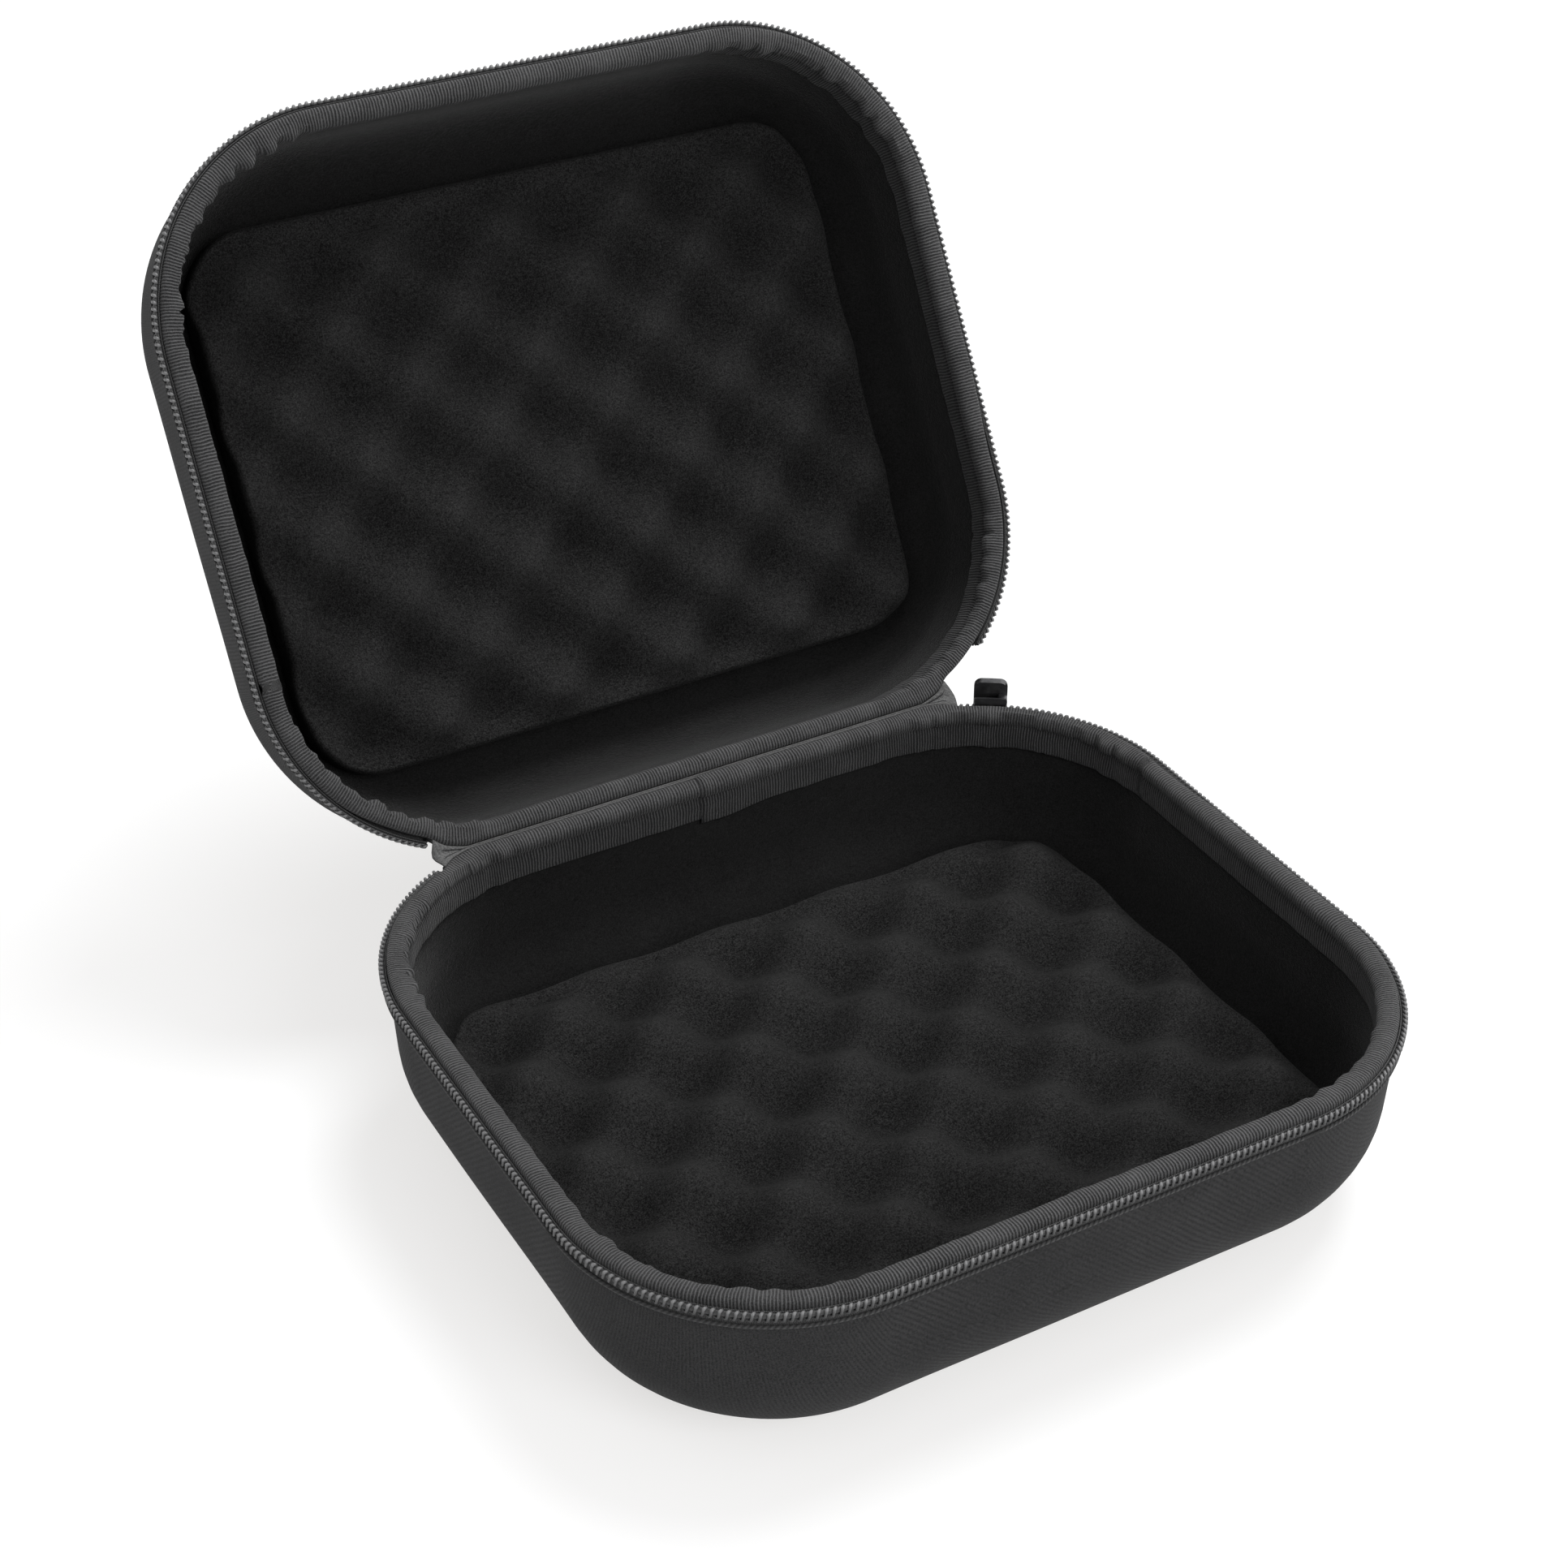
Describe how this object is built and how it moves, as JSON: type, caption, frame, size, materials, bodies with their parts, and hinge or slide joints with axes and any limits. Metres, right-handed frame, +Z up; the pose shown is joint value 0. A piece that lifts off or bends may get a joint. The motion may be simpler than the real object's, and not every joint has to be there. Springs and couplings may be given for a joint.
{
  "type": "binocular hard case",
  "caption": "Zip-round clamshell hard case for binoculars, two moulded fabric-faced halves with foam pads, standing open on a fabric hinge.",
  "frame": {"origin": "centre of the base's underside", "axes": "+X along the hinge, +Y towards the hinge, +Z up"},
  "size_m": [0.24, 0.348, 0.2344],
  "materials": {
    "outer_fabric": "fine ribbed weave, matt",
    "pile_lining": "short black pile",
    "foam": "open-cell foam with a mottled nap",
    "binding_tape": "ribbed grosgrain",
    "zip_tape": "woven, matt",
    "zip_coil": "satin nylon",
    "edge_cord": "twisted thread",
    "hinge_face": "fine ribbed weave, matt",
    "hinge_backing": "light grey twill",
    "slider_metal": "black enamel, satin",
    "grip_rubber": "moulded, matt"
  },
  "bodies": {
    "base": {"base_shell": "outer_fabric", "base_lining": "pile_lining", "base_foam": "foam", "base_binding": "binding_tape", "base_zip_tape": "zip_tape", "base_zip_coil": "zip_coil", "base_edge_cord": "edge_cord", "hinge_strip": "hinge_face", "hinge_backing": "hinge_backing"},
    "lid": {"lid_shell": "outer_fabric", "lid_lining": "pile_lining", "lid_foam": "foam", "lid_binding": "binding_tape", "lid_zip_tape": "zip_tape", "lid_zip_coil": "zip_coil", "lid_edge_cord": "edge_cord"},
    "slider": {"slider_body": "slider_metal", "slider_bridge": "slider_metal"},
    "pull": {"pull_tab": "slider_metal", "pull_grip": "grip_rubber"}
  },
  "joints": [
    {"name": "lid_hinge", "type": "hinge", "parent": "base", "child": "lid", "pos_m": [0, 0.1019, 0.057], "axis": [-1, 0, 0], "range_deg": [-120.5, 38], "deforming": ["hinge_strip", "hinge_backing"]},
    {"name": "slider_travel", "type": "hinge", "parent": "base", "child": "slider", "pos_m": [0.06, 0.045, 0.057], "axis": [0, 0, 1], "range_deg": [-51.8, 0]},
    {"name": "pull_swing", "type": "hinge", "parent": "slider", "child": "pull", "pos_m": [0.09545, 0.09877, 0.057], "axis": [0.8349, -0.5505, 0], "range_deg": [-8, 70]}
  ]
}
